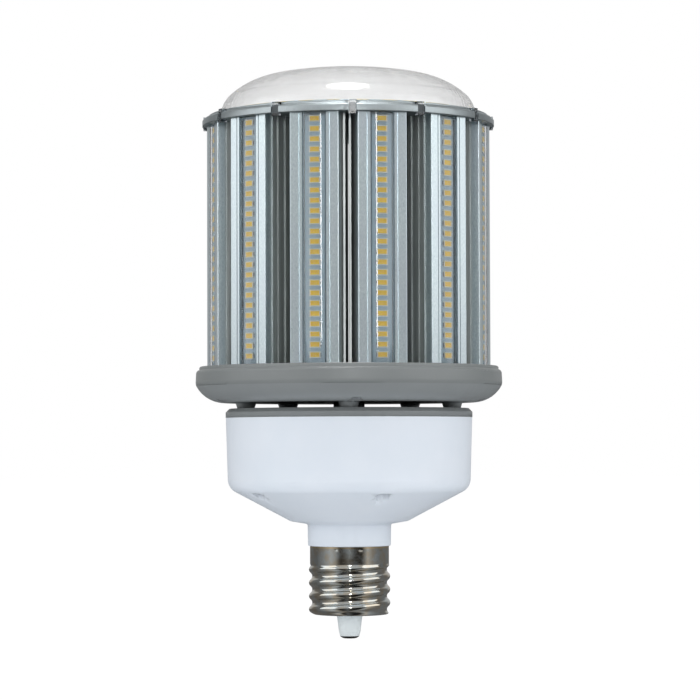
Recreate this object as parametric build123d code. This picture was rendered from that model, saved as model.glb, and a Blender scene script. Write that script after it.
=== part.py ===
from build123d import *
from math import atan2, cos, degrees, hypot, radians, sin
import os

# LED corn lamp on an extended-pin mogul screw cap, standing cap down and dome up.
# Z is the lamp's axis and z = 0 is the end face of the centre contact.
# The seam between the two heat-sink halves faces -Y. Sizes are in millimetres.
# An angle of a piece is counted from -Y, positive towards +X.

# Heights along the axis, from the contact upwards
contact_height = 1.1
post_length = 10.4
thread_length = 23.8
collar_length = 9.0
neck_length = 10.45
neck_flat_rise = 1.4
cone_corner_rise = 15.9
housing_wall_height = 33.7
lid_thickness = 4.35
vent_gap = 2.8
dish_height = 8.0
ring_floor = 2.5
ring_belt_height = 3.4
ring_lip_height = 3.4
sink_length = 122.1
plate_flange_height = 3.6
plate_step_height = 1.5
dome_height = 22.9

# Centre contact and its insulating post
contact_flat_r = 2.6
contact_r = 4.6
contact_edge_mid = (3.73, 0.37)
rivet_r = 1.5
rivet_head_r = 2.6
rivet_head_height = 1.0
rivet_clearance = 0.1
post_shoulder_r = 5.2
post_shoulder_rise = 2.4
post_root_r = 6.0
post_flare_r = 6.4
post_flare_height = 1.6
insulator_disc_thickness = 3.2
insulator_clearance = 0.1

# Screw shell: rolled sheet with the knuckle thread of the mogul cap
thread_major_r = 19.5
thread_pitch = 6.35
thread_arc_r = 2.01
thread_first_crest = 13.9
thread_crest_count = 4
shell_wall = 0.4
shell_collar_inset = 0.55
shell_bottom_corner = 1.5
shell_lip_width = 2.0

# Driver housing
spigot_clearance = 0.3
spigot_length = 19.6
spigot_wall = 2.6
neck_ledge = 0.95
neck_flare = 0.15
neck_flat_r = 28.3
housing_draft = 1.0
cone_corner_round = 7.0
neck_root_round = 1.0
neck_foot_round = 0.6
spigot_step_gap = 0.4
spigot_step_rise = 1.0
housing_rim_r = 59.2
housing_wall = 2.5
housing_screw_inset = 8.2
housing_screw_angle = 17.5
housing_pocket_r = 3.35
housing_pocket_roof_rise = 16.4
housing_boss_r = 4.5

# Housing lid, stand-off posts and wire duct
lid_overhang = 0.1
lid_edge_chamfer = 1.8
lid_edge_round = 0.5
lid_skirt_depth = 4.3
lid_skirt_wall = 1.8
lid_skirt_clearance = 0.2
post_count = 5
post_inset = 7.7
post_foot_r = 4.1
post_root_top_r = 5.05
duct_r = 7.5
duct_bore_r = 5.0
duct_collar_height = 4.0

# Base dish and base ring
dish_floor = 2.5
dish_bowl_r = 15.1
ring_parting_reach = 1.4
ring_belt_reach = 1.75
ring_belt_foot = 2.1
ring_belt_bulge = 0.12
ring_belt_top_reach = 1.55
ring_shoulder_mid = (1.05, 1.25)
ring_lip_reach = 4.7
ring_lip_round = 0.5
ring_shoulder_rise = 1.8
ring_floor_width = 15.0
ring_to_sink_clearance = 0.5
dish_screw_inset = 10.0
dish_screw_angle = 3.0
dish_pocket_r = 2.9
dish_pocket_depth = 2.8
dish_boss_r = 4.6
dish_boss_wall = 1.8
ring_pillar_r = 3.5

# Heat sink: two equal extrusions, six LED columns each
columns_per_half = 6
column_pitch_deg = 30.6
column_half_width = 11.57
column_tip_v = 67.2
column_lip_height = 2.9
column_face_wall = 2.3
column_lip_start = 5.7
column_lip_width = 1.3
column_groove_width = 0.4
column_groove_depth = 1.0
column_edge_round = 0.4
side_wall = 1.6
side_wall_depth = 18.3
rib_depths = (2.5, 6.3, 10.9)
rib_width = 2.0
rib_height = 0.6
web_thickness = 1.8
seam_gap = 0.3
seam_rail_thickness = 1.0
seam_rail_inner_depth = 23.2
seam_rail_outer_depth = 6.2
seam_rail_offset = 1.1
port_columns = (0, 1, 3, 5)
port_r = 3.2
port_slot = 2.4
port_overlap = 0.2

# LED strips and their clear covers
board_thickness = 1.0
board_side_clearance = 0.1
board_end_margin = 0.6
led_side_margin = 0.1
led_length = 3.0
led_height = 0.9
leds_per_strip = 24
led_pitch = 4.72
led_top_margin = 3.0
cover_apex_rise = 0.7
cover_wall = 0.84
cover_edge_rise = 1.3
cover_end_round = 1.6

# Top plate, clear dome and top LED board
plate_flange_reach = 3.1
plate_step_inset = 2.8
plate_floor = 3.0
plate_rim_width = 5.0
plate_rim_wall = 1.0
plate_edge_break = 0.3
plate_flange_chamfer = 0.85
seam_notch_shift_deg = 1.6
notch_width = 3.9
notch_depth = 2.5
dome_skirt_gap = 1.0
dome_wall = 1.8
dome_flange_thickness = 1.2
dome_flange_clearance = 0.2
dome_edge_r = 13.5
dome_shoulder_r = 39.5
dome_flatness = 0.3
tab_clearance = 0.35
tab_thickness = 1.5
tab_hook_height = 1.2
tab_hook_reach = 1.2
tab_inset = 0.5
top_board_gap = 7.5
top_board_thickness = 1.6
top_led_rings = ((8, 16.0), (14, 31.0), (22, 47.0))
top_board_screw_ring_r = 23.5
top_board_screw_count = 4

# Driver inside the housing
driver_board_gap = 15.2
driver_board_thickness = 1.6
driver_board_depth = 24.0
driver_pillar_r = 3.5
driver_pillar_inset = 6.0
driver_pillar_count = 3
driver_pillar_angle = 54.0
transformer_size = (30.0, 24.0, 20.0)
transformer_bobbin_size = (20.0, 30.0, 12.0)
transformer_bobbin_round = 4.0
transformer_spot = (8.0, -8.0)
capacitor_r = 7.5
capacitor_height = 20.0
capacitor_spots = ((-24.0, -10.0), (-24.0, 6.0), (-9.0, 20.0))
choke_outer_r = 9.0
choke_inner_r = 4.0
choke_height = 10.0
choke_round = 1.5
choke_spot = (16.0, 22.0)

# Screws: pan heads, thread left plain
screw_shank_r = 1.5
screw_head_r = 2.5
screw_head_height = 2.0
screw_head_chamfer = 0.5
screw_head_clearance = 0.2
screw_head_stand = 0.4
screw_hole_clearance = 0.05
housing_screw_length = 14.0
post_screw_length = 8.0
dish_screw_length = 6.0
sink_screw_length = 12.0
board_screw_length = 5.0
top_board_screw_length = 4.0

# Radii worked out from the sizes they fit to
thread_root_r = thread_major_r - 2 * thread_arc_r + (
    (2 * thread_arc_r) ** 2 - (thread_pitch / 2) ** 2) ** 0.5
shell_collar_r = thread_major_r - shell_collar_inset
neck_r = shell_collar_r + neck_ledge
cone_corner_r = housing_rim_r - housing_draft
housing_screw_ring_r = housing_rim_r - housing_screw_inset
post_ring_r = housing_rim_r - post_inset
driver_board_r = housing_rim_r - driver_board_gap
driver_pillar_ring_r = driver_board_r - driver_pillar_inset
column_face_v = column_tip_v - column_lip_height
column_lip_end = column_lip_start + column_lip_width
column_corner_r = hypot(column_tip_v, column_half_width)
side_wall_end_v = column_face_v - side_wall_depth
cover_apex_v = column_tip_v + cover_apex_rise
ring_lip_r = column_tip_v + ring_lip_reach
ring_parting_r = ring_lip_r + ring_parting_reach
ring_belt_r = ring_lip_r + ring_belt_reach
ring_belt_top_r = ring_lip_r + ring_belt_top_reach
dish_screw_ring_r = ring_parting_r - dish_screw_inset
plate_flange_r = column_tip_v + plate_flange_reach
plate_step_r = plate_flange_r - plate_step_inset
plate_pocket_r = plate_step_r - plate_rim_width
dome_skirt_r = plate_pocket_r - dome_skirt_gap
dome_crown_r = dome_skirt_r / dome_flatness
top_board_r = plate_pocket_r - top_board_gap
port_v = column_face_v - column_face_wall - port_r + port_overlap
ring_floor_inner_r = port_v - ring_floor_width
led_width = column_lip_start - led_side_margin

# Levels worked out from the heights
shell_z0 = contact_height + post_length
thread_z1 = shell_z0 + thread_length
shell_z1 = thread_z1 + collar_length
neck_z1 = shell_z1 + neck_length
cone_z0 = neck_z1 + neck_flat_rise
cone_corner_z = cone_z0 + cone_corner_rise
housing_z1 = cone_corner_z + housing_wall_height
lid_z1 = housing_z1 + lid_thickness
dish_z0 = lid_z1 + vent_gap
parting_z = dish_z0 + dish_height
sink_z0 = parting_z + ring_floor
sink_z1 = sink_z0 + sink_length
plate_step_z = sink_z1 + plate_flange_height
plate_z1 = plate_step_z + plate_step_height
plate_pocket_z = sink_z1 + plate_floor
dome_seat_z = plate_z1 - dome_flange_thickness
dome_top_z = plate_z1 + dome_height
post_screw_hole_r = screw_shank_r + screw_hole_clearance
seam_column_deg = (180 - (columns_per_half - 1) * column_pitch_deg) / 2
column_angles = [seam_column_deg + i * column_pitch_deg for i in range(columns_per_half)]
all_column_angles = column_angles + [angle + 180 for angle in column_angles]

os.makedirs("parts", exist_ok=True)


def turned(points, radii=0):
    """Solid of revolution about Z from a closed outline of (radius, height) points."""
    outline = FilletPolyline(*points, radius=radii, close=True)
    return revolve(Plane.XZ * make_face(outline), Axis.Z)


def rod(radius, z0, z1):
    """Cylinder on the axis between two heights."""
    return Pos(0, 0, z0) * Cylinder(radius, z1 - z0, align=(Align.CENTER, Align.CENTER, Align.MIN))


def turn(angle, shape):
    """Turn a shape about the lamp's axis."""
    return Rot(0, 0, angle) * shape


def out(radius, angle, shape):
    """Move a shape from the axis to a radius, in the direction of an angle from -Y."""
    return turn(angle, Pos(0, -radius, 0) * shape)


def ring_of(count, radius, start, shape):
    """Copies of a shape at equal angles round the axis."""
    return [out(radius, start + 360 * i / count, shape) for i in range(count)]


def screw(z_seat, length, up=True):
    """Pan-head screw whose head rests on z_seat, shank pointing up or down."""
    body = turned(
        [(0, -screw_head_height), (screw_head_r - screw_head_chamfer, -screw_head_height),
         (screw_head_r, screw_head_chamfer - screw_head_height), (screw_head_r, 0),
         (screw_shank_r, 0), (screw_shank_r, length), (0, length)])
    if not up:
        body = Rot(180, 0, 0) * body
    return Pos(0, 0, z_seat) * body


def save(name, shape):
    """Write one node; a list becomes a group of separate solids."""
    if isinstance(shape, list):
        shape = Compound(children=shape)
    export_step(shape, f"parts/{name}.step")


# Centre contact, post and insulator

def centre_contact():
    """Domed contact with a rivet stem through the post, peened over inside the cap."""
    disc_top = shell_z0 + shell_wall + insulator_disc_thickness
    outline = [
        Line((0, 0), (contact_flat_r, 0)),
        ThreePointArc((contact_flat_r, 0), contact_edge_mid, (contact_r, contact_height)),
        Polyline(
            (contact_r, contact_height), (rivet_r, contact_height), (rivet_r, disc_top),
            (rivet_head_r, disc_top), (rivet_head_r, disc_top + rivet_head_height),
            (0, disc_top + rivet_head_height), (0, 0)),
    ]
    return revolve(Plane.XZ * make_face(outline), Axis.Z)


def base_insulator():
    """White post that carries the contact, in one with the disc that closes the cap."""
    bore = rivet_r + rivet_clearance
    disc_z0 = shell_z0 + shell_wall
    disc_r = thread_root_r - shell_wall - insulator_clearance
    disc_corner = shell_bottom_corner - shell_wall
    post = turned(
        [(bore, contact_height), (contact_r, contact_height),
         (post_shoulder_r, contact_height + post_shoulder_rise),
         (post_root_r, shell_z0 - post_flare_height), (post_flare_r, shell_z0),
         (post_flare_r, disc_z0), (disc_r - disc_corner, disc_z0),
         (disc_r, disc_z0 + disc_corner), (disc_r, disc_z0 + insulator_disc_thickness),
         (bore, disc_z0 + insulator_disc_thickness)],
        [0, 0.3, 1.5, 0.8, 0, 0, 0, 0, 0.4, 0])
    return post


# Screw shell

def thread_wall(offset):
    """Knuckle profile of the shell's outer face, or of a face deeper in its wall by offset.

    Crest and root arcs have one radius on the outer face and meet at a common tangent, and
    their centres stay where they are when the face moves inwards.
    """
    crest_x = thread_major_r - thread_arc_r
    root_x = thread_root_r + thread_arc_r
    half_pitch = thread_pitch / 2
    lean = degrees(atan2(half_pitch, root_x - crest_x))
    crest_arc = thread_arc_r - offset
    root_arc = thread_arc_r + offset
    edges = []
    for i in range(thread_crest_count):
        crest_z = thread_first_crest + i * thread_pitch
        edges.append(CenterArc((crest_x, crest_z), crest_arc, -lean, 2 * lean))
        if i < thread_crest_count - 1:
            edges.append(CenterArc((root_x, crest_z + half_pitch), root_arc, 180 - lean, 2 * lean))
    corner = shell_bottom_corner - offset
    foot_z = shell_z0 + offset
    foot_r = thread_root_r - offset
    foot = Polyline((thread_root_r - shell_lip_width, foot_z), (foot_r - corner, foot_z),
                    edges[0] @ 0)
    collar = Polyline(edges[-1] @ 1, (shell_collar_r - offset, thread_z1),
                      (shell_collar_r - offset, shell_z1))
    return [foot, *edges, collar]


def screw_shell():
    """Thin rolled shell, open at the neck, with a turned-in lip under the insulator."""
    lip_r = thread_root_r - shell_lip_width
    section = make_face([
        *thread_wall(0),
        Line((shell_collar_r, shell_z1), (shell_collar_r - shell_wall, shell_z1)),
        *thread_wall(shell_wall),
        Line((lip_r, shell_z0 + shell_wall), (lip_r, shell_z0)),
    ])
    return revolve(Plane.XZ * section, Axis.Z)


# Driver housing and lid

def cone_z(radius, shift=0):
    """Height of the housing's conical underside at a radius."""
    slope = cone_corner_rise / (cone_corner_r - neck_flat_r)
    return cone_z0 + shift + (radius - neck_flat_r) * slope


def housing_blank():
    """Outer form: spigot in the cap, neck, cone and drafted wall."""
    spigot_r = thread_root_r - shell_wall - spigot_clearance
    collar_fit_r = shell_collar_r - shell_wall - spigot_clearance / 3
    spigot_z0 = shell_z1 - spigot_length
    step_z = thread_z1 + spigot_step_gap
    return turned(
        [(0, spigot_z0), (spigot_r, spigot_z0), (spigot_r, step_z),
         (collar_fit_r, step_z + spigot_step_rise), (collar_fit_r, shell_z1), (neck_r, shell_z1),
         (neck_r + neck_flare, neck_z1), (neck_flat_r, cone_z0), (cone_corner_r, cone_corner_z),
         (housing_rim_r, housing_z1), (0, housing_z1)],
        [0, 0.5, 0, 0, 0, neck_foot_round, neck_root_round, 3.0, cone_corner_round, 0, 0])


def housing_hollow():
    """Inner form: bore through the neck and the chamber for the driver."""
    slope_shift = housing_wall / cos(atan2(cone_corner_rise, cone_corner_r - neck_flat_r))
    spigot_z0 = shell_z1 - spigot_length
    bore_r = thread_root_r - shell_wall - spigot_clearance - spigot_wall
    neck_bore_r = neck_r - housing_wall
    corner_r = cone_corner_r - housing_wall
    return turned(
        [(0, spigot_z0 - 1), (bore_r, spigot_z0 - 1), (bore_r, shell_z1),
         (neck_bore_r, shell_z1 + housing_wall), (neck_bore_r, neck_z1 + housing_wall),
         (neck_flat_r, cone_z(neck_flat_r, slope_shift)), (corner_r, cone_z(corner_r, slope_shift)),
         (housing_rim_r - housing_wall, housing_z1 + 1), (0, housing_z1 + 1)],
        [0, 0, 0, 0, neck_root_round, 3.0, cone_corner_round - housing_wall, 0, 0])


housing_pocket_roof_z = cone_z0 + housing_pocket_roof_rise
housing_boss_top_z = housing_pocket_roof_z + housing_wall


def driver_housing():
    """Moulded shell with five screw bosses, each reached through a pocket in the cone."""
    bosses = ring_of(post_count, housing_screw_ring_r, housing_screw_angle,
                     rod(housing_boss_r, cone_z0, housing_boss_top_z))
    pockets = ring_of(post_count, housing_screw_ring_r, housing_screw_angle,
                      rod(housing_pocket_r, cone_z0, housing_pocket_roof_z))
    holes = ring_of(post_count, housing_screw_ring_r, housing_screw_angle,
                    rod(post_screw_hole_r, cone_z0, housing_boss_top_z + 1))
    return housing_blank() - (housing_hollow() - bosses) - pockets - holes


def housing_lid():
    """Grey lid with a skirt in the rim, pillars for both sets of screws and a wire hole."""
    skirt_r = housing_rim_r - housing_wall - lid_skirt_clearance
    skirt_inner_r = skirt_r - lid_skirt_wall
    skirt_z = housing_z1 - lid_skirt_depth
    lid_r = housing_rim_r + lid_overhang
    lid = turned(
        [(duct_bore_r, housing_z1), (skirt_inner_r, housing_z1), (skirt_inner_r, skirt_z),
         (skirt_r, skirt_z), (skirt_r, housing_z1), (lid_r, housing_z1),
         (lid_r, lid_z1 - lid_edge_chamfer), (lid_r - lid_edge_chamfer, lid_z1),
         (duct_bore_r, lid_z1)],
        [0, 0, 0, 0, 0, 0, lid_edge_round, lid_edge_round, 0])
    lid += ring_of(post_count, housing_screw_ring_r, housing_screw_angle,
                   rod(housing_boss_r, housing_boss_top_z, housing_z1))
    lid += ring_of(driver_pillar_count, driver_pillar_ring_r, driver_pillar_angle,
                   rod(driver_pillar_r, driver_board_top_z, housing_z1))
    pilot_top = housing_pocket_roof_z + housing_screw_length + 1
    lid -= ring_of(post_count, housing_screw_ring_r, housing_screw_angle,
                   rod(post_screw_hole_r, housing_boss_top_z - 1, pilot_top))
    lid -= ring_of(driver_pillar_count, driver_pillar_ring_r, driver_pillar_angle,
                   rod(post_screw_hole_r, driver_board_top_z - 1,
                       driver_board_top_z + board_screw_length))
    lid -= ring_of(post_count, post_ring_r, 0,
                   rod(post_screw_hole_r, housing_z1 - 1, lid_z1 + 1))
    return lid


# Driver electronics

driver_board_top_z = housing_z1 - driver_board_depth
driver_board_z0 = driver_board_top_z - driver_board_thickness


def driver_board():
    """Round board hung on the lid's three pillars."""
    board = rod(driver_board_r, driver_board_z0, driver_board_top_z)
    board -= ring_of(driver_pillar_count, driver_pillar_ring_r, driver_pillar_angle,
                     rod(post_screw_hole_r, driver_board_z0 - 1, driver_board_top_z + 1))
    return board


def driver_transformer():
    """Ferrite core pair with its wound bobbin showing on both sides."""
    length, width, height = transformer_size
    bobbin_length, bobbin_width, bobbin_height = transformer_bobbin_size
    low = (Align.CENTER, Align.CENTER, Align.MIN)
    core = Box(length, width, height, align=low)
    bobbin = Box(bobbin_length, bobbin_width, bobbin_height, align=low)
    bobbin = fillet(bobbin.edges().filter_by(Axis.Z), transformer_bobbin_round)
    lift = (height - bobbin_height) / 2
    return Pos(*transformer_spot, driver_board_top_z) * (core + Pos(0, 0, lift) * bobbin)


def driver_capacitors():
    """Electrolytic cans standing on the board."""
    can = turned(
        [(0, 0), (capacitor_r, 0), (capacitor_r, capacitor_height), (0, capacitor_height)],
        [0, 0.5, 1.0, 0])
    return [Pos(x, y, driver_board_top_z) * can for x, y in capacitor_spots]


def driver_choke():
    """Wound toroid standing flat on the board."""
    ring = turned(
        [(choke_inner_r, 0), (choke_outer_r, 0), (choke_outer_r, choke_height),
         (choke_inner_r, choke_height)], choke_round)
    return Pos(*choke_spot, driver_board_top_z) * ring


# Base dish and ring

def dish_bowl(inset):
    """Outer form of the dish, or its hollow when inset by the wall."""
    drop = dish_bowl_r - dish_height
    arc_r = dish_bowl_r - inset
    foot_r = ring_parting_r - (dish_bowl_r ** 2 - drop ** 2) ** 0.5
    rim_r = foot_r + (arc_r ** 2 - drop ** 2) ** 0.5
    outline = [
        CenterArc((foot_r, dish_z0 + dish_bowl_r), arc_r, -90, degrees(atan2(rim_r - foot_r, drop))),
        Polyline((rim_r, parting_z), (0, parting_z), (0, dish_z0 + inset),
                 (foot_r, dish_z0 + inset)),
    ]
    return revolve(Plane.XZ * make_face(outline), Axis.Z)


def base_dish():
    """Lower grey dish with the five stand-off posts and the wire duct."""
    bosses = ring_of(post_count, dish_screw_ring_r, dish_screw_angle,
                     rod(dish_boss_r, dish_z0, dish_boss_top_z))
    dish = dish_bowl(0) - (dish_bowl(dish_floor) - bosses)
    dish += rod(duct_r, lid_z1, dish_z0 + dish_floor + duct_collar_height)
    post = turned(
        [(0, lid_z1), (post_foot_r, lid_z1), (post_root_top_r, dish_z0),
         (post_root_top_r, dish_z0 + dish_floor), (0, dish_z0 + dish_floor)])
    dish += ring_of(post_count, post_ring_r, 0, post)
    dish -= ring_of(post_count, dish_screw_ring_r, dish_screw_angle,
                    rod(dish_pocket_r, dish_z0 - 1, dish_pocket_roof_z))
    dish -= ring_of(post_count, dish_screw_ring_r, dish_screw_angle,
                    rod(post_screw_hole_r, dish_z0, dish_boss_top_z + 1))
    dish -= ring_of(post_count, post_ring_r, 0,
                    rod(post_screw_hole_r, lid_z1 - 1, lid_z1 + post_screw_length - lid_thickness))
    dish -= rod(duct_bore_r, lid_z1 - 1, parting_z + 1)
    return dish


dish_pocket_roof_z = dish_z0 + dish_pocket_depth
dish_boss_top_z = dish_pocket_roof_z + dish_boss_wall


def base_ring():
    """Upper grey ring: belt, shoulder and lip round the foot of the heat sink."""
    inner_r = column_corner_r + ring_to_sink_clearance
    belt_z = parting_z + ring_belt_foot
    shoulder_z = sink_z0 + ring_belt_height
    lip_z = shoulder_z + ring_lip_height
    shoulder_mid_reach, shoulder_mid_rise = ring_shoulder_mid
    outline = [
        ThreePointArc(
            (ring_parting_r, parting_z),
            ((ring_parting_r + ring_belt_r) / 2 + ring_belt_bulge, parting_z + ring_belt_foot / 2),
            (ring_belt_r, belt_z)),
        Line((ring_belt_r, belt_z), (ring_belt_top_r, shoulder_z)),
        ThreePointArc(
            (ring_belt_top_r, shoulder_z),
            (ring_lip_r + shoulder_mid_reach, shoulder_z + shoulder_mid_rise),
            (ring_lip_r, shoulder_z + ring_shoulder_rise)),
        Polyline(
            (ring_lip_r, shoulder_z + ring_shoulder_rise), (ring_lip_r, lip_z - ring_lip_round),
            (ring_lip_r - ring_lip_round, lip_z), (inner_r, lip_z), (inner_r, sink_z0),
            (ring_floor_inner_r, sink_z0), (ring_floor_inner_r, parting_z),
            (ring_parting_r, parting_z)),
    ]
    ring = revolve(Plane.XZ * make_face(outline), Axis.Z)
    ring += ring_of(post_count, dish_screw_ring_r, dish_screw_angle,
                    rod(ring_pillar_r, dish_boss_top_z, parting_z))
    ring -= ring_of(post_count, dish_screw_ring_r, dish_screw_angle,
                    rod(post_screw_hole_r, dish_boss_top_z - 1,
                        dish_pocket_roof_z + dish_screw_length + 0.5))
    ring -= [out(port_v, angle, rod(post_screw_hole_r, parting_z - 1, sink_z0 + 1))
             for angle in port_angles]
    return ring


# Heat sink

def bar(u0, u1, v0, v1):
    """Rectangle of a column's section: u runs along the face, v outwards from the axis."""
    return Pos((u0 + u1) / 2, -(v0 + v1) / 2) * Rectangle(u1 - u0, v1 - v0)


port_angles = [column_angles[i] + half for half in (0, 180) for i in port_columns]


def column_section(ribs_on_left, ribs_on_right):
    """Section of one LED column: face, lips, grooves, shoulders and side walls."""
    half = column_half_width
    wall_end = side_wall_end_v
    groove_end = column_lip_end + column_groove_width
    section = bar(-half, half, column_face_v - column_face_wall, column_face_v)
    edge = bar(column_lip_start, half, column_face_v, column_tip_v)
    edge -= bar(column_lip_end, groove_end, column_tip_v - column_groove_depth, column_tip_v + 1)
    edge += bar(half - side_wall, half, wall_end, column_face_v)
    section += [edge, mirror(edge, Plane.YZ)]
    rib = [bar(half, half + rib_height, v - rib_width / 2, v + rib_width / 2)
           for v in [column_face_v - depth for depth in rib_depths]]
    if ribs_on_right:
        section += rib
    if ribs_on_left:
        section += [mirror(bead, Plane.YZ) for bead in rib]
    return section


def screw_port():
    """Open screw channel behind a face, for the screws of the plate and the ring."""
    centre = Pos(0, -port_v)
    slot = bar(-port_slot / 2, port_slot / 2, port_v - port_r - 1, port_v)
    return centre * Circle(port_r) - centre * Circle(post_screw_hole_r) - slot


def recess_web():
    """Floor of the recess between two neighbouring columns."""
    half_pitch = radians(column_pitch_deg / 2)
    wall_v = side_wall_end_v
    inner_u = column_half_width - side_wall
    s_outer = wall_v * cos(half_pitch) + column_half_width * sin(half_pitch)
    half_width = wall_v * sin(half_pitch) - inner_u * cos(half_pitch)
    return bar(-half_width, half_width, s_outer - web_thickness, s_outer)


def seam_rail(x0):
    """Rail that stands in the seam recess and laps the other half's rail."""
    return bar(x0, x0 + seam_rail_thickness,
               column_tip_v - seam_rail_inner_depth, column_tip_v - seam_rail_outer_depth)


def half_section():
    """Section of the half on the +X side, six columns from the front seam to the back."""
    section = Sketch()
    for i, angle in enumerate(column_angles):
        column = column_section(i > 0, i < columns_per_half - 1)
        if i in port_columns:
            column += screw_port()
        section += turn(angle, column)
    for i in range(columns_per_half - 1):
        section += turn(column_angles[i] + column_pitch_deg / 2, recess_web())
    section += seam_rail(seam_gap)
    back_rail_x = seam_gap + seam_rail_offset + seam_rail_thickness
    section += turn(180, seam_rail(-back_rail_x))
    reach = 2 * column_tip_v
    section &= Pos(seam_gap / 2 + reach / 2, 0) * Rectangle(reach, 2 * reach)
    corners = [v for v in section.vertices() if hypot(v.X, v.Y) > column_corner_r - 0.05]
    return fillet(corners, column_edge_round)


def heat_sink_half(angle):
    """One extrusion; the other is the same piece turned half round."""
    return turn(angle, Pos(0, 0, sink_z0) * extrude(half_section(), sink_length))


# LED strips

led_seat_v = column_face_v + board_thickness
strip_z0 = sink_z0 + board_end_margin
strip_z1 = sink_z1 - board_end_margin


def strip_prism(section, z0, z1):
    """Extrude a section of a column between two heights."""
    return Pos(0, 0, z0) * extrude(section, z1 - z0)


def led_board(angle):
    """Bare board lying between the column's lips."""
    half = column_lip_start - board_side_clearance
    return turn(angle, strip_prism(bar(-half, half, column_face_v, led_seat_v), strip_z0, strip_z1))


def led_package():
    """One surface-mount LED, long side across the strip, centred on height 0."""
    body = Box(led_width, led_height, led_length)
    return Pos(0, -(led_seat_v + led_height / 2), 0) * body


def led_set(angle):
    """The LEDs of one strip, counted down from the top."""
    first_z = sink_z1 - led_top_margin
    return [turn(angle, Pos(0, 0, first_z - i * led_pitch) * led_package())
            for i in range(leds_per_strip)]


def arched_prism(inset, floor_v):
    """Solid under the cover's arched skin, with its end edges rounded."""
    half = column_lip_start - board_side_clearance - inset
    apex = cover_apex_v - inset
    edge_v = led_seat_v + cover_edge_rise - inset
    z0 = strip_z0 + inset
    z1 = strip_z1 - inset
    section = make_face([
        Polyline((-half, -edge_v), (-half, -floor_v), (half, -floor_v), (half, -edge_v)),
        ThreePointArc((half, -edge_v), (0, -apex), (-half, -edge_v)),
    ])
    crown_v = apex + 0.2
    side = make_face(FilletPolyline(
        (-floor_v, z0), (-crown_v, z0), (-crown_v, z1), (-floor_v, z1),
        radius=[0, cover_end_round - inset, cover_end_round - inset, 0], close=True))
    slab = extrude(Plane.YZ * side, half + 1, both=True)
    return strip_prism(section, z0, z1) & slab


def strip_cover(angle):
    """Clear arched cover whose feet stand on the board."""
    return turn(angle, arched_prism(0, led_seat_v) - arched_prism(cover_wall, column_face_v))


# Top plate, dome and top LED board

next_column_angles = all_column_angles[1:] + [all_column_angles[0] + 360]
notch_angles = [(a + b) / 2 for a, b in zip(all_column_angles, next_column_angles)]
for seam in (columns_per_half - 1, 2 * columns_per_half - 1):
    notch_angles[seam] += seam_notch_shift_deg


def top_plate():
    """Turned cap of the heat sink: flange, step, pocket and twelve notches."""
    rim_inner_r = plate_step_r - plate_rim_wall
    plate = turned(
        [(0, sink_z1), (plate_flange_r, sink_z1),
         (plate_flange_r, plate_step_z - plate_flange_chamfer),
         (plate_flange_r - plate_flange_chamfer, plate_step_z), (plate_step_r, plate_step_z),
         (plate_step_r, plate_z1), (rim_inner_r, plate_z1),
         (rim_inner_r, dome_seat_z), (plate_pocket_r, dome_seat_z),
         (plate_pocket_r, plate_pocket_z), (0, plate_pocket_z)],
        [0, plate_edge_break, 0, 0, 0, plate_edge_break, 0, 0, 0, 0, 0])
    notch_r = plate_flange_r - notch_depth
    low = (Align.CENTER, Align.MAX, Align.MIN)
    tall = plate_z1 - sink_z1 + 2
    notch = Pos(0, -notch_r, sink_z1 - 1) * Box(notch_width, notch_depth + 1, tall, align=low)
    slot = Pos(0, -rim_inner_r + 0.5, dome_seat_z) * Box(notch_width, 4, tall, align=low)
    plate -= [turn(angle, cut) for angle in notch_angles for cut in (notch, slot)]
    plate -= [out(port_v, angle, rod(post_screw_hole_r, sink_z1 - 1, plate_z1))
              for angle in port_angles]
    head_room_r = screw_head_r + screw_head_clearance
    plate -= [out(port_v, angle, rod(head_room_r, plate_head_seat_z, plate_z1))
              for angle in port_angles]
    plate -= ring_of(top_board_screw_count, top_board_screw_ring_r, 0,
                     rod(post_screw_hole_r, sink_z1 - 1, plate_pocket_z + 1))
    return plate


plate_head_seat_z = plate_pocket_z - screw_head_height + screw_head_stand


def dome_arc(inset):
    """Outline of the dome: edge, shoulder and crown arcs, each tangent to the next."""
    edge_x = dome_skirt_r - dome_edge_r
    crown_z = dome_top_z - dome_crown_r
    span = hypot(edge_x, plate_z1 - crown_z)
    to_edge = dome_shoulder_r - dome_edge_r
    to_crown = dome_crown_r - dome_shoulder_r
    along = (to_edge ** 2 - to_crown ** 2 + span ** 2) / (2 * span)
    aside = (to_edge ** 2 - along ** 2) ** 0.5
    unit_x = -edge_x / span
    unit_z = (crown_z - plate_z1) / span
    shoulder_x = edge_x + along * unit_x + aside * unit_z
    shoulder_z = plate_z1 + along * unit_z - aside * unit_x
    edge_end = degrees(atan2(plate_z1 - shoulder_z, edge_x - shoulder_x))
    shoulder_end = degrees(atan2(shoulder_z - crown_z, shoulder_x))
    return [
        CenterArc((edge_x, plate_z1), dome_edge_r - inset, 0, edge_end),
        CenterArc((shoulder_x, shoulder_z), dome_shoulder_r - inset, edge_end, shoulder_end - edge_end),
        CenterArc((0, crown_z), dome_crown_r - inset, shoulder_end, 90 - shoulder_end),
    ]


def snap_tab():
    """Arm and leg of one snap, drawn at the front, hooking under the plate."""
    half = notch_width / 2 - tab_clearance
    leg_outer = plate_flange_r - tab_inset
    leg_inner = leg_outer - tab_thickness
    hook_r = leg_inner - tab_hook_reach
    flange_r = plate_step_r - plate_rim_wall - dome_flange_clearance
    side = Polyline(
        (-(flange_r - 1), dome_seat_z), (-(flange_r - 1), plate_z1), (-leg_outer, plate_z1),
        (-leg_outer, sink_z1 - tab_hook_height), (-hook_r, sink_z1 - tab_hook_height),
        (-hook_r, sink_z1), (-leg_inner, sink_z1), (-leg_inner, dome_seat_z), close=True)
    return extrude(Plane.YZ * make_face(side), half, both=True)


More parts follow.
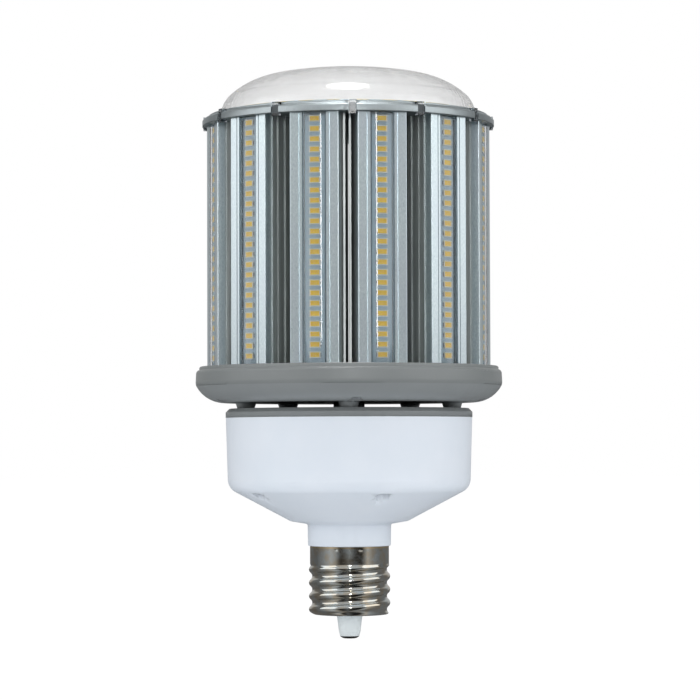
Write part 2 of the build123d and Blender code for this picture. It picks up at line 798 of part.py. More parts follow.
def dome_cover():
    """Clear moulded dome with a flat flange and twelve snap tabs."""
    flange_r = plate_step_r - plate_rim_wall - dome_flange_clearance
    outer_r = dome_skirt_r
    inner_r = outer_r - dome_wall
    outline = [
        Polyline((outer_r, plate_z1), (flange_r, plate_z1), (flange_r, dome_seat_z),
                 (inner_r, dome_seat_z), (inner_r, plate_z1)),
        *dome_arc(dome_wall),
        Line((0, dome_top_z - dome_wall), (0, dome_top_z)),
        *dome_arc(0),
    ]
    dome = revolve(Plane.XZ * make_face(outline), Axis.Z)
    dome += [turn(angle, snap_tab()) for angle in notch_angles]
    return dome


def top_board():
    """Round LED board in the plate's pocket."""
    board = rod(top_board_r, plate_pocket_z, plate_pocket_z + top_board_thickness)
    board -= ring_of(top_board_screw_count, top_board_screw_ring_r, 0,
                     rod(post_screw_hole_r, sink_z1, plate_z1))
    return board


def top_leds():
    """LEDs of the top board in three rings, facing up."""
    z = plate_pocket_z + top_board_thickness + led_height / 2
    package = Pos(0, 0, z) * Box(led_width, led_length, led_height)
    leds = []
    for count, radius in top_led_rings:
        leds += ring_of(count, radius, 180 / count, package)
    return leds


# Screws

def housing_screws():
    """Five screws from the pockets in the cone into the lid's pillars."""
    return ring_of(post_count, housing_screw_ring_r, housing_screw_angle,
                   screw(housing_pocket_roof_z, housing_screw_length))


def post_screws():
    """Five screws from inside the lid into the dish's stand-off posts."""
    return ring_of(post_count, post_ring_r, 0, screw(housing_z1, post_screw_length))


def dish_screws():
    """Five screws from the pockets in the dish into the ring's pillars."""
    return ring_of(post_count, dish_screw_ring_r, dish_screw_angle,
                   screw(dish_pocket_roof_z, dish_screw_length))


def sink_screws():
    """Eight screws up through the ring's floor and eight down through the top plate."""
    below = [out(port_v, angle, screw(parting_z, sink_screw_length)) for angle in port_angles]
    above = [out(port_v, angle, screw(plate_head_seat_z, sink_screw_length, up=False))
             for angle in port_angles]
    return below + above


def board_screws():
    """Short screws of the driver board and of the top LED board."""
    driver = ring_of(driver_pillar_count, driver_pillar_ring_r, driver_pillar_angle,
                     screw(driver_board_z0, board_screw_length))
    top_seat = plate_pocket_z + top_board_thickness
    top = ring_of(top_board_screw_count, top_board_screw_ring_r, 0,
                  screw(top_seat, top_board_screw_length, up=False))
    return driver + top


save("centre_contact", centre_contact())
save("base_insulator", base_insulator())
save("screw_shell", screw_shell())
save("driver_housing", driver_housing())
save("housing_lid", housing_lid())
save("driver_board", driver_board())
save("driver_transformer", driver_transformer())
save("driver_capacitors", driver_capacitors())
save("driver_choke", driver_choke())
save("base_dish", base_dish())
save("base_ring", base_ring())
save("heat_sink_right", heat_sink_half(0))
save("heat_sink_left", heat_sink_half(180))
for number, strip_angle in enumerate(all_column_angles, start=1):
    save(f"led_board_{number:02d}", led_board(strip_angle))
    save(f"led_set_{number:02d}", led_set(strip_angle))
    save(f"strip_cover_{number:02d}", strip_cover(strip_angle))
save("top_plate", top_plate())
save("dome_cover", dome_cover())
save("top_board", top_board())
save("top_leds", top_leds())
save("housing_screws", housing_screws())
save("post_screws", post_screws())
save("dish_screws", dish_screws())
save("sink_screws", sink_screws())
save("board_screws", board_screws())
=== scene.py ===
"""LED corn lamp: the CAD frame with smooth skins, fine pieces, materials, light and camera."""

from math import atan2, cos, pi, radians, sin

import bmesh
import bpy
import numpy as np
from mathutils import Euler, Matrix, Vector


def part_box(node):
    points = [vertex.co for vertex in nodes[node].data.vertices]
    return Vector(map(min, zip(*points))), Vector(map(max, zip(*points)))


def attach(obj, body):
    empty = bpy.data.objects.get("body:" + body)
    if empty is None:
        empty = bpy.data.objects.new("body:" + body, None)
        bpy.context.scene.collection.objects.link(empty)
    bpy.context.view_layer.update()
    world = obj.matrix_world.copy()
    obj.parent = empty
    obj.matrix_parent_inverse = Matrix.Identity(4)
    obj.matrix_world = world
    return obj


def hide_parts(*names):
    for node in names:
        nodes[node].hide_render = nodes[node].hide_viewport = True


MM = 0.001

# Photograph's view, in millimetres and degrees: the lens is for a square 36 mm sensor
EYE_DISTANCE = 1301.0
EYE_HEIGHT = 93.4
EYE_SIDE = 0.41
EYE_TILT = 1.975
EYE_ROLL = 0.178
LENS = 139.09
SENSOR = 36.0

# Screw cap
THREAD_MAJOR_R = 19.5
THREAD_ARC_R = 2.01
THREAD_PITCH = 6.35
THREAD_CREST_AT_X = 17.05
THREAD_END = 34.8
THREAD_FADE = 1.0
SHELL_WALL = 0.4
SHELL_COLLAR_R = 18.95
SHELL_FOOT = 11.5
SHELL_TOP = 44.3
SHELL_CORNER = 1.5
SHELL_LIP_R = 15.9
STAKE_COUNT = 10
STAKE_ANGLE = -19.6
STAKE_HEIGHT = 42.9
STAKE_SIZE = 0.35
STAKE_DEPTH = 0.12
SHELL_STEPS_ROUND = 240
SHELL_STEPS_OUTER = 150
SHELL_STEPS_INNER = 90
SHELL_STEPS_CORNER = 7

# LED strips
COLUMN_PITCH = 30.6
FIRST_COLUMN = 13.5
COLUMNS_PER_HALF = 6
BOARD_TOP_V = 65.3
LED_WIDTH = 5.6
LED_LENGTH = 3.0
LED_HEIGHT = 0.9
LEDS_PER_STRIP = 24
LED_PITCH = 4.72
LED_TOP_MARGIN = 3.0
FRAME_RIM_U = 0.35
FRAME_RIM_Z = 0.32
GEL_SINK = 0.12
LEAD_REACH = 0.25
LEAD_HALF_WIDTH = 0.9
LEAD_THICKNESS = 0.35

# Radii where the extrusion turns from ribbed recess to face, and the dome from skirt to tabs
FACE_R = 64.4
TAB_R = 66.5

# Brightness of the room for gloss, as (azimuth from -Y, brightness), and of the fill light
ROOM_ABOVE = ((-180, 0.6), (-150, 0.48), (-134, 0.18), (-100, 0.15), (-45, 0.34), (-38, 0.5),
              (38, 0.5), (45, 0.34), (100, 0.15), (134, 0.18), (150, 0.48), (180, 0.6))
ROOM_BELOW = ((-180, 0.15), (-134, 0.14), (-110, 0.13), (-84, 0.25), (-56, 0.5), (-42, 0.36),
              (-33, 0.12), (-26, 0.03), (-15, 0.06), (-3, 0.12), (10, 0.045), (18, 0.015),
              (36, 0.02), (44, 0.2), (54, 0.5), (70, 0.3), (90, 0.19), (180, 0.15))
FILL = 0.7
HORIZON = -0.005
HORIZON_BLUR = 0.04

# Floor: its colour, its glow to the eye and how much of the glow covers the shaded surface
FLOOR_SIDE = 12000.0
FLOOR_TINT = (0.79, 0.81, 0.83, 1)
FLOOR_GLOW = 1.04
FLOOR_GLOW_SHARE = 0.93

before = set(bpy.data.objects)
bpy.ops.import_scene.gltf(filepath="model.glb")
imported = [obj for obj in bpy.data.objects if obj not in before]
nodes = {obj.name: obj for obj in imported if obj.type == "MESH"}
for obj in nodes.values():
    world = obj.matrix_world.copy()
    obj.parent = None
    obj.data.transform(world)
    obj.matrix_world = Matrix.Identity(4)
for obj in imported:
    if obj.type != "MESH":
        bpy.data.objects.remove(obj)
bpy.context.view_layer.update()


def node_range(*names):
    """Lowest and highest corner, in millimetres, of several CAD nodes together."""
    boxes = [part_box(name) for name in names]
    low = np.min([box[0] for box in boxes], axis=0)
    high = np.max([box[1] for box in boxes], axis=0)
    return low / MM, high / MM


STRIP_ANGLES = [FIRST_COLUMN + COLUMN_PITCH * i + half
                for half in (0, 180) for i in range(COLUMNS_PER_HALF)]


# Shader maths

class Signal:
    """An output socket; Python's operators on it add Math nodes."""

    def __init__(self, shader, socket):
        self.shader = shader
        self.socket = socket

    def maths(self, operation, *values):
        return self.shader.node("ShaderNodeMath", {"operation": operation},
                                dict(enumerate(values)))

    def __add__(self, other):
        return self.maths("ADD", self, other)

    def __mul__(self, other):
        return self.maths("MULTIPLY", self, other)

    def __rsub__(self, other):
        return self.maths("SUBTRACT", other, self)

    __radd__ = __add__
    __rmul__ = __mul__

    def above(self, edge, softness):
        """0 below the edge and 1 above it, with a soft step of the given width."""
        return self.shader.node(
            "ShaderNodeMapRange", {"interpolation_type": "SMOOTHSTEP"},
            {"Value": self, "From Min": edge - softness / 2, "From Max": edge + softness / 2})


class Shader:
    """A node tree with one method that makes any node."""

    def __init__(self, owner):
        owner.use_nodes = True
        self.owner = owner
        self.tree = owner.node_tree

    def node(self, kind, settings=None, inputs=None, output=0):
        """Add a node: settings first, then the values or links of its sockets."""
        made = self.tree.nodes.new(kind)
        for name, value in (settings or {}).items():
            if name == "stops":
                self.set_stops(made.color_ramp, value)
            else:
                setattr(made, name, value)
        for key, value in (inputs or {}).items():
            self.feed(made.inputs[key], value)
        return Signal(self, made.outputs[output])

    def feed(self, socket, value):
        if isinstance(value, Signal):
            self.tree.links.new(value.socket, socket)
        else:
            socket.default_value = value

    def set_stops(self, ramp, stops):
        """Grey stops of a colour ramp, as (position, brightness)."""
        while len(ramp.elements) < len(stops):
            ramp.elements.new(1.0)
        for element, (position, shade) in zip(ramp.elements, stops):
            element.position = position
            element.color = (shade, shade, shade, 1)


class Finish(Shader):
    """A Principled material whose patterns run on Object coordinates, in millimetres."""

    def __init__(self, name, **constants):
        super().__init__(bpy.data.materials.new(name))
        self.surface = self.tree.nodes["Principled BSDF"]
        for key, value in constants.items():
            self.feed(self.surface.inputs[key.replace("_", " ")], value)

    def place(self):
        """Object coordinates in millimetres."""
        point = self.node("ShaderNodeTexCoord", output="Object")
        return self.node("ShaderNodeVectorMath", {"operation": "SCALE"},
                         {0: point, "Scale": 1 / MM})

    def noise(self, size, detail=2.0, stretch=(1, 1, 1)):
        """Noise between 0 and 1 with grains of a size in millimetres, times stretch an axis."""
        scale = tuple(1 / (size * s) for s in stretch)
        point = self.node("ShaderNodeVectorMath", {"operation": "MULTIPLY"},
                          {0: self.place(), 1: scale})
        return self.node("ShaderNodeTexNoise", None,
                         {"Vector": point, "Scale": 1.0, "Detail": detail, "Roughness": 0.6})

    def axis(self, letter):
        """One coordinate in millimetres."""
        return self.node("ShaderNodeSeparateXYZ", None, {0: self.place()}, output=letter)

    def radius(self):
        """Distance from the lamp's axis in millimetres."""
        flat = self.node("ShaderNodeVectorMath", {"operation": "MULTIPLY"},
                         {0: self.place(), 1: (1, 1, 0)})
        return self.node("ShaderNodeVectorMath", {"operation": "LENGTH"}, {0: flat}, output=1)

    def blend(self, first, second, share):
        """Mix of two colours."""
        return self.node("ShaderNodeMix", {"data_type": "RGBA"},
                         {0: share, 6: as_colour(first), 7: as_colour(second)}, output=2)

    def raise_by(self, height, depth):
        """Bump from a height between 0 and 1, standing for a depth in millimetres."""
        bump = self.node("ShaderNodeBump", None,
                         {"Height": height, "Distance": depth * MM, "Strength": 1.0})
        self.feed(self.surface.inputs["Normal"], bump)

    def set(self, **values):
        """Feed the surface's inputs, with spaces for underscores, and return the material."""
        for key, value in values.items():
            self.feed(self.surface.inputs[key.replace("_", " ")], value)
        return self.owner


def as_colour(value):
    return value if isinstance(value, Signal) else (*value, 1)


def srgb(red, green, blue):
    """Scene-linear colour from display values of 0 to 255."""
    return tuple(c / 12.92 if c <= 0.04045 else ((c + 0.055) / 1.055) ** 2.4
                 for c in (red / 255, green / 255, blue / 255))


# Finishes

def moulded_plastic(name, base, shade, roughness):
    """Satin moulded plastic: faint flow clouds, a fine spark texture and slightly uneven gloss."""
    finish = Finish(name, Specular_IOR_Level=0.5)
    clouds = finish.noise(22.0, 3.0)
    grain = finish.noise(0.35, 2.0)
    finish.raise_by(grain, 0.012)
    return finish.set(Base_Color=finish.blend(base, shade, clouds.above(0.5, 0.5) * 0.6),
                      Roughness=finish.noise(9.0) * 0.12 + (roughness - 0.06))


def extruded_aluminium():
    """Satin anodised extrusion: fine mottled etch and faint die lines along the axis.

    The recesses between the columns are duller than the bead-blasted faces, and their colour is
    painted darker: painted shade for the dimness deep between the columns.
    """
    finish = Finish("extruded_aluminium")
    mottle = finish.noise(0.55, 3.0, (1, 1, 2.2))
    die_lines = finish.noise(0.35, 2.0, (1, 1, 120))
    patches = finish.noise(14.0, 2.0, (1, 1, 3))
    face = finish.radius().above(FACE_R, 2.0)
    pale = finish.blend(srgb(214, 229, 234), srgb(233, 246, 249), mottle.above(0.52, 0.35))
    pale = finish.blend(pale, srgb(219, 228, 238), patches.above(0.55, 0.4) * 0.5)
    # Painted shade: inside FACE_R the colour is darker than the faces', standing in for the
    # dimness between the columns; the die lines in it are real.
    recess_painted_shade = finish.blend(srgb(162, 168, 168), srgb(196, 201, 200), die_lines.above(0.5, 0.4))
    tone = finish.blend(recess_painted_shade, pale, face)
    finish.raise_by(mottle * 0.5 + die_lines * 0.5, 0.0035)
    return finish.set(Base_Color=tone, Metallic=face * 0.18 + 0.82,
                      Roughness=mottle * 0.12 + (1 - face) * 0.08 + 0.24)


def turned_aluminium():
    """Bare turned plate: fine lathe rings round the axis and a little grain."""
    finish = Finish("turned_aluminium", Metallic=1.0)
    rings = finish.noise(0.22, 1.0, (60, 60, 1))
    grain = finish.noise(0.4, 3.0)
    finish.raise_by(rings * 0.5 + grain * 0.5, 0.012)
    tone = finish.blend(srgb(170, 179, 182), srgb(194, 203, 206), grain.above(0.5, 0.4))
    return finish.set(Base_Color=tone, Roughness=grain * 0.12 + 0.38)


def rolled_nickel():
    """Bright nickel on rolled brass sheet: warm, smooth, with soft handling haze."""
    finish = Finish("rolled_nickel", Metallic=1.0)
    haze = finish.noise(5.0, 4.0)
    brass_edge = finish.axis("Z").above(SHELL_TOP - 0.9, 0.5)
    lines = finish.noise(0.3, 2.0, (30, 30, 1))
    finish.raise_by(lines, 0.004)
    tone = finish.blend(srgb(206, 196, 178), srgb(202, 208, 208), haze.above(0.5, 0.35))
    tone = finish.blend(tone, srgb(232, 212, 176), brass_edge * 0.8)
    return finish.set(Base_Color=tone, Roughness=haze.above(0.55, 0.5) * 0.08 + 0.08)


def dark_contact():
    """Dull dark contact metal with small scuffs."""
    finish = Finish("dark_contact", Metallic=1.0)
    scuffs = finish.noise(0.5, 4.0)
    finish.raise_by(scuffs, 0.03)
    tone = finish.blend(srgb(70, 68, 66), srgb(128, 126, 122), scuffs.above(0.6, 0.2))
    return finish.set(Base_Color=tone, Roughness=scuffs * 0.2 + 0.35)


def clear_moulding(name, tint, roughness, ior, rim_r=None, rim_shade_tint=None):
    """Clear moulded plastic with a faint flow ripple; a rim beyond a radius is tinted grey,
    painted shade.
    """
    finish = Finish(name, Transmission_Weight=1.0, IOR=ior)
    ripple = finish.noise(8.0, 1.0, (1, 1, 8))
    finish.raise_by(ripple, 0.0004)
    tone = finish.blend(tint, (1, 1, 1), ripple * 0.3)
    if rim_r:
        tone = finish.blend(tone, rim_shade_tint, finish.radius().above(rim_r, 0.5))
    return finish.set(Base_Color=tone, Roughness=ripple * 0.02 + roughness)


def strip_laminate():
    """Pale solder mask on the metal-core boards of the strips."""
    finish = Finish("strip_laminate", Specular_IOR_Level=0.5)
    clouds = finish.noise(3.0, 3.0, (1, 1, 4))
    finish.raise_by(finish.noise(0.2), 0.006)
    return finish.set(Base_Color=finish.blend(srgb(172, 197, 209), srgb(152, 180, 195), clouds),
                      Roughness=clouds * 0.1 + 0.3)


def led_phosphor():
    """Yellow silicone gel in two close tones."""
    finish = Finish("led_phosphor", Specular_IOR_Level=0.5)
    spots = finish.noise(1.4, 2.0)
    finish.raise_by(spots, 0.02)
    return finish.set(Base_Color=finish.blend(srgb(238, 190, 2), srgb(250, 210, 14), spots),
                      Roughness=spots * 0.1 + 0.35)


def plain_finish(name, base, other, roughness, metallic=0.0, grain=0.6):
    """Small part with two close tones in a fine grain."""
    finish = Finish(name, Metallic=metallic)
    speckle = finish.noise(grain, 3.0)
    finish.raise_by(speckle, 0.01)
    return finish.set(Base_Color=finish.blend(base, other, speckle),
                      Roughness=speckle * 0.1 + roughness)


WHITE_PLASTIC = moulded_plastic("white_plastic", srgb(217, 223, 231), srgb(211, 219, 228), 0.38)
POST_PLASTIC = moulded_plastic("post_plastic", srgb(240, 246, 247), srgb(234, 241, 243), 0.3)
GREY_PLASTIC = moulded_plastic("grey_plastic", srgb(125, 129, 130), srgb(120, 124, 126), 0.36)
# The ring is a darker copy of the grey plastic: painted shade against the extra light its faces
# catch from the softboxes.
SHADED_RING_PLASTIC = moulded_plastic("ring_plastic_shaded", srgb(116, 120, 120), srgb(112, 116, 117), 0.38)
EXTRUDED = extruded_aluminium()
TURNED = turned_aluminium()
NICKEL = rolled_nickel()
CONTACT = dark_contact()
CLEAR_COVER = clear_moulding("clear_cover", srgb(246, 248, 250), 0.02, 1.58)
# Beyond TAB_R the dome's tabs and hooks are tinted grey: painted shade for the dark under the
# plate's rim.
CLEAR_DOME = clear_moulding("clear_dome", srgb(255, 255, 255), 0.13, 1.47,
                            TAB_R, srgb(150, 156, 160))
LAMINATE = strip_laminate()
PHOSPHOR = led_phosphor()
LED_FRAME = plain_finish("led_frame", srgb(224, 224, 212), srgb(212, 214, 204), 0.4)
LED_LEAD = plain_finish("led_lead", srgb(96, 100, 104), srgb(132, 136, 138), 0.35, 1.0, 0.3)
GREEN_LAMINATE = plain_finish("green_laminate", srgb(42, 108, 66), srgb(36, 96, 60), 0.35)
FERRITE = plain_finish("ferrite", srgb(52, 52, 54), srgb(64, 62, 62), 0.6)
CAN_SLEEVE = plain_finish("can_sleeve", srgb(40, 44, 60), srgb(52, 56, 72), 0.4)
ZINC = plain_finish("zinc", srgb(170, 174, 178), srgb(196, 198, 200), 0.3, 1.0)


# Pieces

def finish_piece(piece, slot, *replaced):
    """Ride on the lamp's one body and stand for CAD nodes; the slot is not used."""
    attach(piece, "root")
    if replaced:
        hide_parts(*replaced)
    return piece


def new_piece(name, points, faces, materials, face_material=None, crease=30.0):
    """Object from arrays of points in millimetres and of faces, smooth up to a crease angle."""
    mesh = bpy.data.meshes.new(name)
    mesh.from_pydata(np.asarray(points) * MM, (), np.asarray(faces))
    for material in materials:
        mesh.materials.append(material)
    if face_material is not None:
        mesh.polygons.foreach_set("material_index", np.asarray(face_material, dtype=np.int32))
    mesh.shade_smooth()
    mesh.set_sharp_from_angle(angle=radians(crease))
    piece = bpy.data.objects.new(name, mesh)
    bpy.context.scene.collection.objects.link(piece)
    return piece


def grid_faces(rows, columns, wrap_rows=False, wrap_columns=False):
    """Four-sided faces of a grid of points numbered row by row."""
    row = np.arange(rows if wrap_rows else rows - 1)[:, None]
    column = np.arange(columns if wrap_columns else columns - 1)[None, :]
    above = (row + 1) % rows
    beside = (column + 1) % columns
    corners = (row * columns + column, row * columns + beside,
               above * columns + beside, above * columns + column)
    return np.stack(np.broadcast_arrays(*corners), axis=-1).reshape(-1, 4)


def on_column(u, v, z, angle):
    """Points of a column's own frame, u across its face and v outwards, in the lamp's frame."""
    turn = radians(angle)
    return np.stack([u * cos(turn) + v * sin(turn), u * sin(turn) - v * cos(turn), z], axis=-1)


def smooth_skin(node, material, slot, crease=28.0):
    """Merged copy of a CAD node's triangles, smooth up to a crease angle, in the node's place."""
    mesh = nodes[node].data.copy()
    mesh.name = node + "_skin"
    editing = bmesh.new()
    editing.from_mesh(mesh)
    bmesh.ops.remove_doubles(editing, verts=editing.verts, dist=0.002 * MM)
    editing.to_mesh(mesh)
    editing.free()
    mesh.materials.clear()
    mesh.materials.append(material)
    mesh.shade_smooth()
    mesh.set_sharp_from_angle(angle=radians(crease))
    piece = bpy.data.objects.new(node + "_skin", mesh)
    bpy.context.scene.collection.objects.link(piece)
    weighted = piece.modifiers.new("weighted", "WEIGHTED_NORMAL")
    weighted.keep_sharp = True
    return finish_piece(piece, slot, node)


def knuckle_depth(rise, offset):
    """Radius of the rolled thread at a height above a crest, for a face offset inwards.

    Crest and root are arcs of one radius on the outer face and share a tangent.
    """
    half = THREAD_PITCH / 2
    crest_x = THREAD_MAJOR_R - THREAD_ARC_R
    root_r = crest_x - THREAD_ARC_R + ((2 * THREAD_ARC_R) ** 2 - half ** 2) ** 0.5
    root_x = root_r + THREAD_ARC_R
    lean = atan2(half, root_x - crest_x)
    crest_arc = THREAD_ARC_R - offset
    root_arc = THREAD_ARC_R + offset
    away = np.abs((rise + half) % THREAD_PITCH - half)
    crest = crest_x + np.sqrt(np.maximum(crest_arc ** 2 - away ** 2, 0))
    root = root_x - np.sqrt(np.maximum(root_arc ** 2 - (half - away) ** 2, 0))
    return np.where(away <= crest_arc * sin(lean), crest, root)


def soft_step(value, start, end):
    """0 before start, 1 after end, with level tangents."""
    share = np.clip((value - start) / (end - start), 0, 1)
    return share * share * (3 - 2 * share)


def shell_face(angle, height, offset):
    """Radius of the shell: the helix below, blended into the plain collar, with stake dents.

    The thread's phase falls by one pitch in a turn, which makes it right-handed. The bottom
    corner is a quarter circle, and each stake is a small bell-shaped dent in the collar.
    """
    rise = height - THREAD_CREST_AT_X - THREAD_PITCH * angle / (2 * pi)
    thread = knuckle_depth(rise, offset)
    radius = thread + (SHELL_COLLAR_R - offset - thread) * soft_step(
        height, THREAD_END - THREAD_FADE, THREAD_END + THREAD_FADE)
    low = np.clip((height - SHELL_FOOT - offset) / SHELL_CORNER, 0, 1)
    radius = radius - SHELL_CORNER * (1 - np.sqrt(np.maximum(1 - (1 - low) ** 2, 0)))
    step = 2 * pi / STAKE_COUNT
    first = radians(STAKE_ANGLE - 90)
    along = ((angle - first + step / 2) % step - step / 2) * SHELL_COLLAR_R
    dent = np.exp(-(along ** 2 + (height - STAKE_HEIGHT) ** 2) / (2 * STAKE_SIZE ** 2))
    return radius - STAKE_DEPTH * dent


def threaded_shell():
    """Closed skin of the rolled cap: out along the lip, up the outer face, down the inner one."""
    angle = np.linspace(0, 2 * pi, SHELL_STEPS_ROUND, endpoint=False)[None, :]
    corner = 1 - np.cos(np.linspace(0, pi / 2, SHELL_STEPS_CORNER))
    wall_z = np.linspace(SHELL_FOOT + SHELL_CORNER, SHELL_TOP, SHELL_STEPS_OUTER)
    outer_z = np.concatenate([SHELL_FOOT + SHELL_CORNER * corner, wall_z[1:]])
    inner_z = np.linspace(SHELL_TOP, SHELL_FOOT + SHELL_WALL, SHELL_STEPS_INNER)
    outer_r = shell_face(angle, outer_z[:, None], 0.0)
    inner_r = shell_face(angle, inner_z[:, None], SHELL_WALL)
    lip_z = np.array([SHELL_FOOT + SHELL_WALL, SHELL_FOOT])
    radius = np.concatenate([outer_r, inner_r, np.full((2, SHELL_STEPS_ROUND), SHELL_LIP_R)])
    height = np.broadcast_to(np.concatenate([outer_z, inner_z, lip_z])[:, None], radius.shape)
    points = np.stack([radius * np.cos(angle), radius * np.sin(angle), height], axis=-1)
    faces = grid_faces(len(radius), SHELL_STEPS_ROUND, True, True)[:, ::-1]
    piece = new_piece("threaded_shell", points.reshape(-1, 3), faces, [NICKEL], crease=50)
    return finish_piece(piece, "nickel_shell", "screw_shell")


# LED packages

def led_shape():
    """Points (u, v, z), faces and face materials of one package, centred on its board contact.

    The frame is a block with a sunk window whose gel fills it almost to the rim; a flat lead
    stands out at each end.
    """
    half_u, half_z, top = LED_WIDTH / 2 - LEAD_REACH, LED_LENGTH / 2, LED_HEIGHT
    win_u, win_z = half_u - FRAME_RIM_U, half_z - FRAME_RIM_Z
    gel_u, gel_z, gel_v = win_u - GEL_SINK, win_z - GEL_SINK, top - GEL_SINK

    def ring(u, z, v):
        """Four corners of a rectangle at one height above the board."""
        return [(-u, v, -z), (u, v, -z), (u, v, z), (-u, v, z)]

    points = ring(half_u, half_z, 0) + ring(half_u, half_z, top) + ring(win_u, win_z, top)
    points += ring(gel_u, gel_z, gel_v)
    faces, kinds = [], []
    for level in range(3):
        for i in range(4):
            a, b = 4 * level + i, 4 * level + (i + 1) % 4
            faces.append((a, b, b + 4, a + 4))
            kinds.append(0)
    faces += [(12, 13, 14, 15), (3, 2, 1, 0)]
    kinds += [1, 0]
    box = [(0, 1, 5, 4), (1, 2, 6, 5), (2, 3, 7, 6), (3, 0, 4, 7), (4, 5, 6, 7), (3, 2, 1, 0)]
    lead_end = ((0, -LEAD_HALF_WIDTH), (0, LEAD_HALF_WIDTH),
                (LEAD_THICKNESS, LEAD_HALF_WIDTH), (LEAD_THICKNESS, -LEAD_HALF_WIDTH))
    for side in (-1, 1):
        start = len(points)
        points += [(side * u, v, z) for u in (half_u, LED_WIDTH / 2) for v, z in lead_end]
        for face in box:
            order = face[::-1] if side > 0 else face
            faces.append(tuple(start + k for k in order))
            kinds.append(2)
    return np.array(points, float), np.array(faces), np.array(kinds)


def repeat_shape(places, faces, kinds, size):
    """Faces and kinds of a shape of `size` points repeated once for each place."""
    steps = np.arange(places)[:, None, None] * size
    return (faces[None] + steps).reshape(-1, 4), np.tile(kinds, places)


def led_strip(number, angle):
    """The packages of one strip, counted down from the heat sink's top."""
    shape, faces, kinds = led_shape()
    top = node_range("heat_sink_right")[1][2] - LED_TOP_MARGIN
    centres = top - LED_PITCH * np.arange(LEDS_PER_STRIP)
    u = np.broadcast_to(shape[None, :, 0], (LEDS_PER_STRIP, len(shape)))
    v = np.broadcast_to(shape[None, :, 1] + BOARD_TOP_V, u.shape)
    z = shape[None, :, 2] + centres[:, None]
    points = on_column(u, v, z, angle).reshape(-1, 3)
    all_faces, all_kinds = repeat_shape(LEDS_PER_STRIP, faces, kinds, len(shape))
    piece = new_piece(f"led_strip_{number:02d}", points, all_faces,
                      [LED_FRAME, PHOSPHOR, LED_LEAD], all_kinds)
    return finish_piece(piece, "led_phosphor", f"led_set_{number:02d}")


# Carried-over CAD nodes

def paint(material, *names):
    """Give CAD nodes that stay visible one material."""
    for name in names:
        mesh = nodes[name].data
        mesh.materials.clear()
        mesh.materials.append(material)


smooth_skin("centre_contact", CONTACT, "contact_metal")
smooth_skin("base_insulator", POST_PLASTIC, "white_plastic")
threaded_shell()
smooth_skin("driver_housing", WHITE_PLASTIC, "white_plastic")
smooth_skin("housing_lid", GREY_PLASTIC, "grey_plastic")
smooth_skin("base_dish", GREY_PLASTIC, "grey_plastic")
smooth_skin("base_ring", SHADED_RING_PLASTIC, "grey_plastic")
smooth_skin("top_plate", TURNED, "turned_aluminium")
smooth_skin("dome_cover", CLEAR_DOME, "clear_plastic")
for count, strip_angle in enumerate(STRIP_ANGLES, start=1):
    led_strip(count, strip_angle)
    smooth_skin(f"strip_cover_{count:02d}", CLEAR_COVER, "clear_plastic")
    paint(LAMINATE, f"led_board_{count:02d}")
paint(EXTRUDED, "heat_sink_right", "heat_sink_left")
paint(LAMINATE, "top_board")
paint(PHOSPHOR, "top_leds")
paint(GREEN_LAMINATE, "driver_board")
paint(FERRITE, "driver_transformer", "driver_choke")
paint(CAN_SLEEVE, "driver_capacitors")
paint(ZINC, "housing_screws", "post_screws", "dish_screws", "sink_screws", "board_screws")


# Light, floor and camera

def area_light(name, shape, width, depth, power):
    """Area light of a size in metres and a power in watts, at the origin and facing down."""
    data = bpy.data.lights.new(name, "AREA")
    data.shape = shape
    data.size, data.size_y = width, depth
    data.energy = power
    light = bpy.data.objects.new(name, data)
    bpy.context.scene.collection.objects.link(light)
    return light


def softbox(name, azimuth, foot, top, distance, width, power):
    """Upright rectangular light between two heights; azimuth counts from -Y to +X.

    Clear plastic doesn't show it from behind, where it would blank the dome out.
    """
    light = area_light(name, "RECTANGLE", width, top - foot, power)
    turn = radians(azimuth)
    light.location = (distance * sin(turn), -distance * cos(turn), (foot + top) / 2)
    light.rotation_euler = Euler((pi / 2, 0, turn), "XYZ")
    light.visible_transmission = False


def overhead_box(name, shift, height, width, depth, power):
    """Level oval light above the lamp, moved towards the camera by shift."""
    light = area_light(name, "ELLIPSE", width, depth, power)
    light.location = (0, -shift, height)


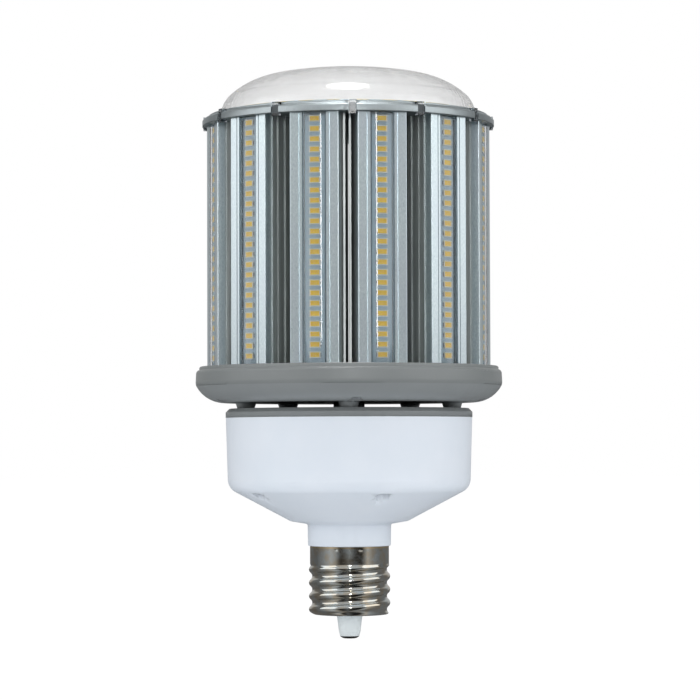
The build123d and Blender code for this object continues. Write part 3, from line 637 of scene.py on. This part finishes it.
def studio_world():
    """White backdrop to the eye and through clear plastic; gloss sees a room.

    The room has one round of brightness above the horizon and a darker one below it.
    """
    world = bpy.data.worlds.new("studio")
    bpy.context.scene.world = world
    sky = Shader(world)
    background = sky.tree.nodes["Background"]
    path = sky.tree.nodes.new("ShaderNodeLightPath")
    seen = Signal(sky, path.outputs["Is Camera Ray"])
    through = Signal(sky, path.outputs["Is Transmission Ray"])
    gloss = Signal(sky, path.outputs["Is Glossy Ray"])
    direction = sky.node("ShaderNodeTexCoord", output="Generated")
    x, y, z = (sky.node("ShaderNodeSeparateXYZ", None, {0: direction}, output=axis)
               for axis in "XYZ")
    round_share = x.maths("ARCTAN2", x, y * -1) * (0.5 / pi) + 0.5
    above, below = (
        sky.node("ShaderNodeValToRGB", {"stops": [(a / 360 + 0.5, level) for a, level in room]},
                 {"Fac": round_share}) for room in (ROOM_ABOVE, ROOM_BELOW))
    risen = z.above(HORIZON, HORIZON_BLUR)
    room = above * risen + below * (1 - risen)
    plain = gloss * room + (1 - gloss) * FILL
    white = seen.maths("MAXIMUM", seen, through)
    strength = white + (1 - white) * plain
    sky.feed(background.inputs["Color"], (1, 1, 1, 1))
    sky.feed(background.inputs["Strength"], strength)


def pale_floor():
    """Level floor under the contact, white to the eye with a faint shadow of the lamp."""
    points = np.array([(-1, -1, 0), (1, -1, 0), (1, 1, 0), (-1, 1, 0)]) * FLOOR_SIDE / 2
    finish = Finish("pale_floor", Base_Color=FLOOR_TINT, Roughness=0.9)
    path = finish.tree.nodes.new("ShaderNodeLightPath")
    seen = Signal(finish, path.outputs["Is Camera Ray"])
    through = Signal(finish, path.outputs["Is Transmission Ray"])
    glow = finish.node("ShaderNodeEmission", None, {"Color": (1, 1, 1, 1), "Strength": FLOOR_GLOW})
    share = seen.maths("MAXIMUM", seen, through) * FLOOR_GLOW_SHARE
    mixed = finish.node("ShaderNodeMixShader", None,
                        {0: share, 1: Signal(finish, finish.surface.outputs[0]), 2: glow})
    finish.feed(finish.tree.nodes["Material Output"].inputs["Surface"], mixed)
    floor = new_piece("floor", points, [(0, 1, 2, 3)], [finish.owner])
    floor.visible_glossy = False


def photo_camera():
    """Camera at the photograph's place and angle."""
    data = bpy.data.cameras.new("photo_camera")
    data.lens = LENS
    data.sensor_width = SENSOR
    data.sensor_fit = "HORIZONTAL"
    data.clip_start = 0.05
    camera = bpy.data.objects.new("photo_camera", data)
    camera.location = (EYE_SIDE * MM, -EYE_DISTANCE * MM, EYE_HEIGHT * MM)
    camera.rotation_euler = Euler((pi / 2 + radians(EYE_TILT), radians(EYE_ROLL), 0), "XYZ")
    bpy.context.scene.collection.objects.link(camera)
    bpy.context.scene.camera = camera


studio_world()
pale_floor()
softbox("left_box", azimuth=-68, foot=0.16, top=1.5, distance=1.6, width=1.6, power=8.3)
softbox("right_box", azimuth=68, foot=0.16, top=1.5, distance=1.6, width=1.6, power=8.3)
softbox("front_strip", azimuth=2, foot=0.17, top=0.78, distance=1.9, width=0.15, power=3.9)
overhead_box("top_box", shift=0.4, height=1.7, width=0.62, depth=0.85, power=12)
photo_camera()
bpy.context.scene.view_settings.view_transform = "Standard"
